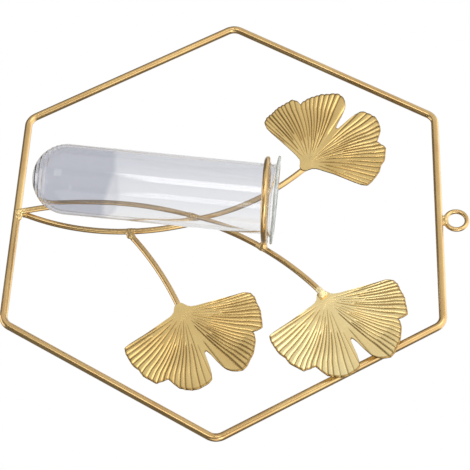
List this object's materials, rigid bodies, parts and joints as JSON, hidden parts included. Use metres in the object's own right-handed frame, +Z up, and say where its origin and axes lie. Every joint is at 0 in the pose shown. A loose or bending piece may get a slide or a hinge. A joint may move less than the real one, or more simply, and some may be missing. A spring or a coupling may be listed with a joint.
{
  "type": "hanging wall vase",
  "caption": "Flat hexagonal wire wall vase with crossing wire stems, pleated ginkgo leaves and a loose glass test tube standing in a small welded wire ring.",
  "frame": {"origin": "centre of the hanging loop's hole, in the plane of the hexagonal frame", "axes": "+Z up, -Y from the wall towards the room, +X to the right for a viewer who faces the wall"},
  "size_m": [0.2498, 0.0488, 0.2319],
  "materials": {
    "gold_wire": "satin gold finish on steel wire, with faint brushing along its length",
    "gold_leaf": "satin gold finish on pleated steel sheet",
    "gold_weld": "slightly rough weld beads under the same gold finish",
    "glass": "clear blown glass with a fire-polished lip"
  },
  "bodies": {
    "wire_body": {"hexagon_frame": "gold_wire", "hanging_loop": "gold_wire", "left_stem": "gold_wire", "right_stem": "gold_wire", "branch_stem": "gold_wire", "holder_ring": "gold_wire", "upper_left_leaf": "gold_leaf", "upper_right_leaf": "gold_leaf", "lower_right_leaf": "gold_leaf", "loop_weld": "gold_weld", "foot_weld": "gold_weld", "crossing_weld": "gold_weld", "branch_weld": "gold_weld", "ring_left_weld": "gold_weld", "ring_right_weld": "gold_weld", "upper_left_leaf_weld": "gold_weld", "upper_right_leaf_weld": "gold_weld", "lower_right_leaf_weld": "gold_weld"},
    "tube": {"glass_tube": "glass"}
  },
  "joints": [
    {"name": "tube_lift", "type": "slide", "parent": "wire_body", "child": "tube", "axis": [0.0711, 0.0768, 0.9945], "range_m": [0, 0.075]}
  ]
}
